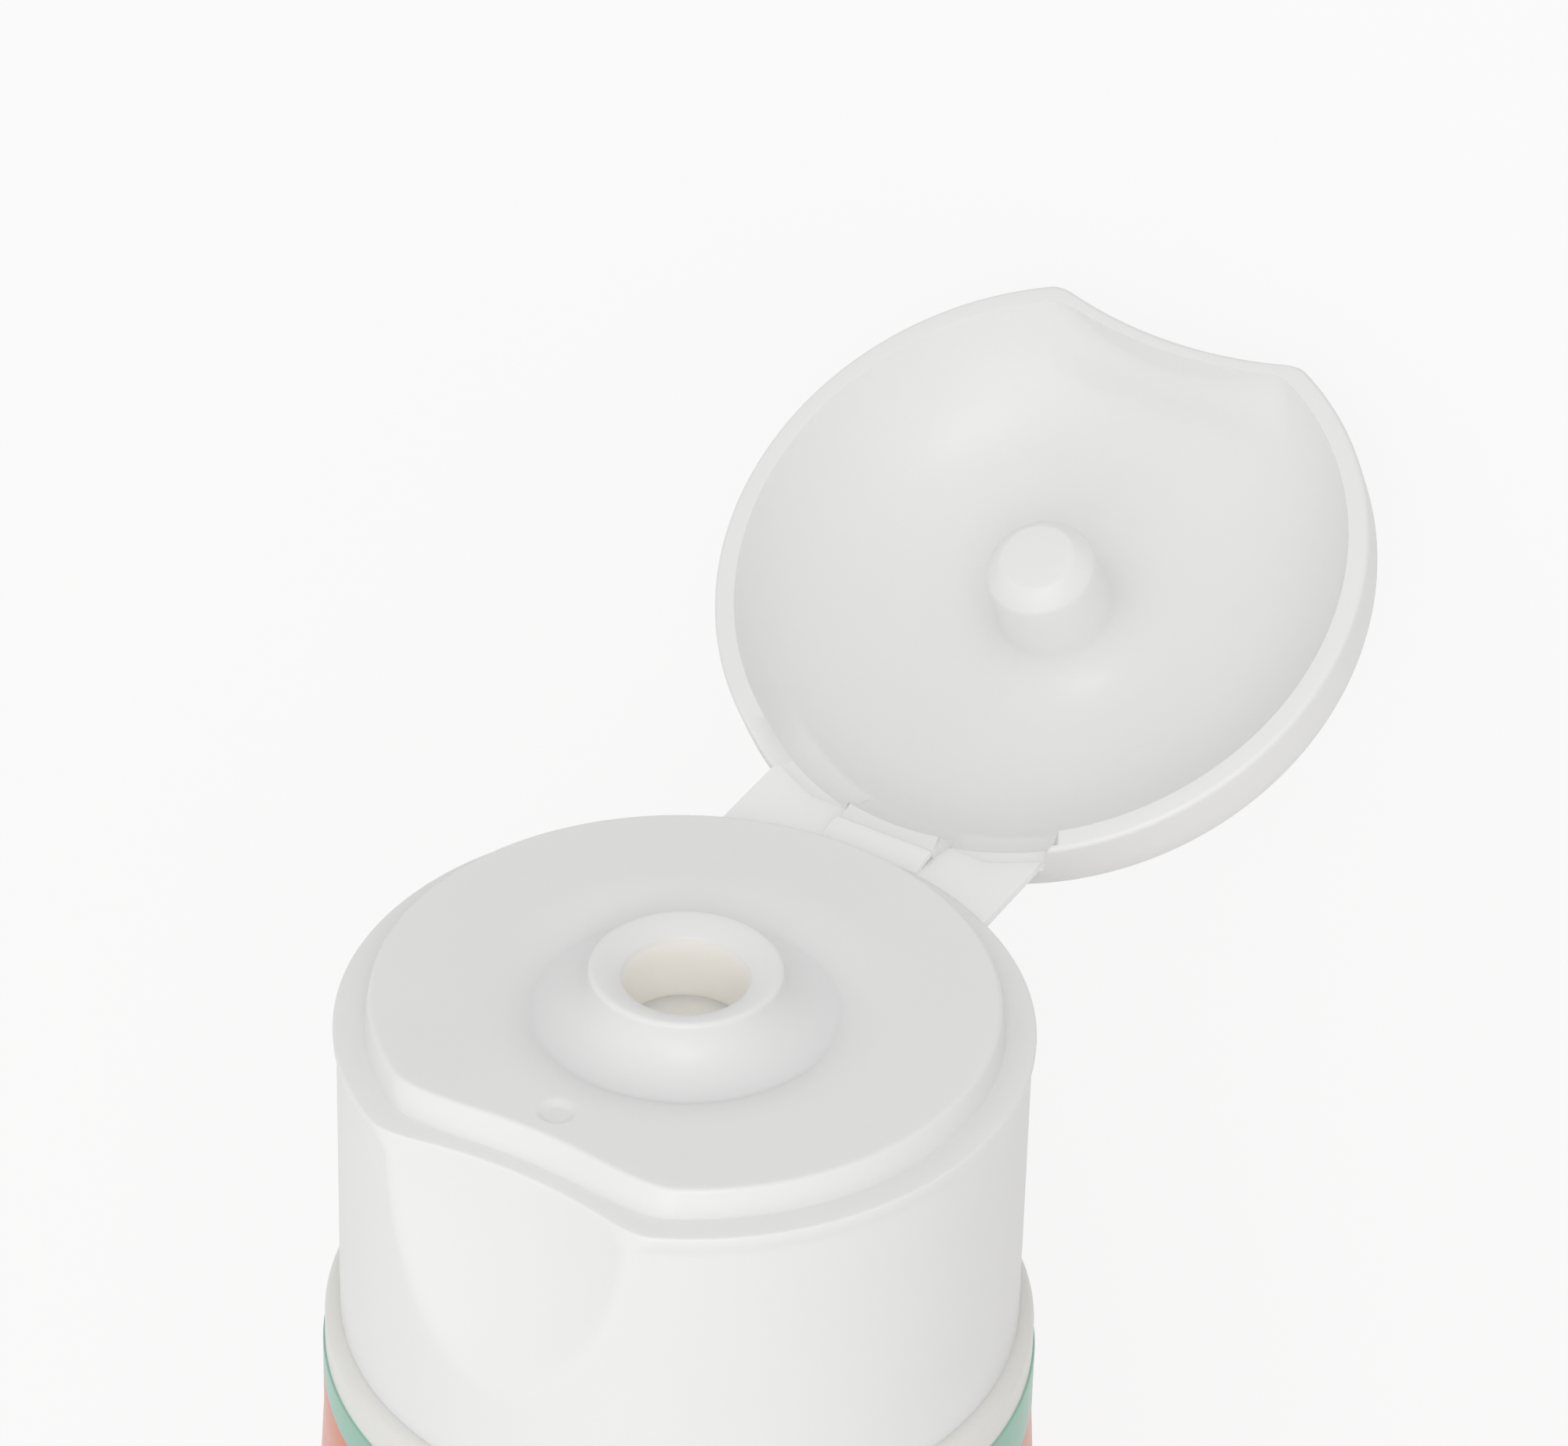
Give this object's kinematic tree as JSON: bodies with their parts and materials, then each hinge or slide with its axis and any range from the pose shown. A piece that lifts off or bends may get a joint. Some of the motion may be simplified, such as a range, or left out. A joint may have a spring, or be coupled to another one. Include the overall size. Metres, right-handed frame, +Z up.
{
  "type": "sunscreen tube",
  "caption": "Squeeze tube with a round-to-flat sleeve, moulded shoulder and flip-top cap, lying on its back with the lid open.",
  "frame": {"origin": "on the floor, under the middle of the part's length and width", "axes": "+Y along the tube, from the crimped end to the cap; +Z up; +X to the right seen from the crimped end"},
  "size_m": [0.0632, 0.1758, 0.0647],
  "materials": {
    "printed_sleeve": "satin printed film, orange with a green stripe at the cap end",
    "head_white": "satin moulded plastic, warm white",
    "lotion_cream": "smooth cream",
    "cap_white": "satin moulded plastic, white"
  },
  "bodies": {
    "tube": {"tube_sleeve": "printed_sleeve", "tube_head": "head_white", "lotion": "lotion_cream", "cap_base": "cap_white", "nozzle": "cap_white", "hinge_film": "cap_white"},
    "lid": {"lid": "cap_white"},
    "straps": {"hinge_strap_left": "cap_white", "hinge_strap_right": "cap_white"}
  },
  "joints": [
    {"name": "lid_hinge", "type": "hinge", "parent": "tube", "child": "lid", "pos_m": [0, 0.06034, 0.02943], "axis": [-1, 0, 0], "range_deg": [-151.5, 20], "deforming": ["hinge_film"]},
    {"name": "strap_hinge", "type": "hinge", "parent": "tube", "child": "straps", "pos_m": [0, 0.05837, 0.02993], "axis": [-1, 0, 0], "range_deg": [-86.5, 11.8]}
  ],
  "couplings": [
    {"joint": "strap_hinge", "follows": "lid_hinge", "ratio": 0.56753}
  ]
}
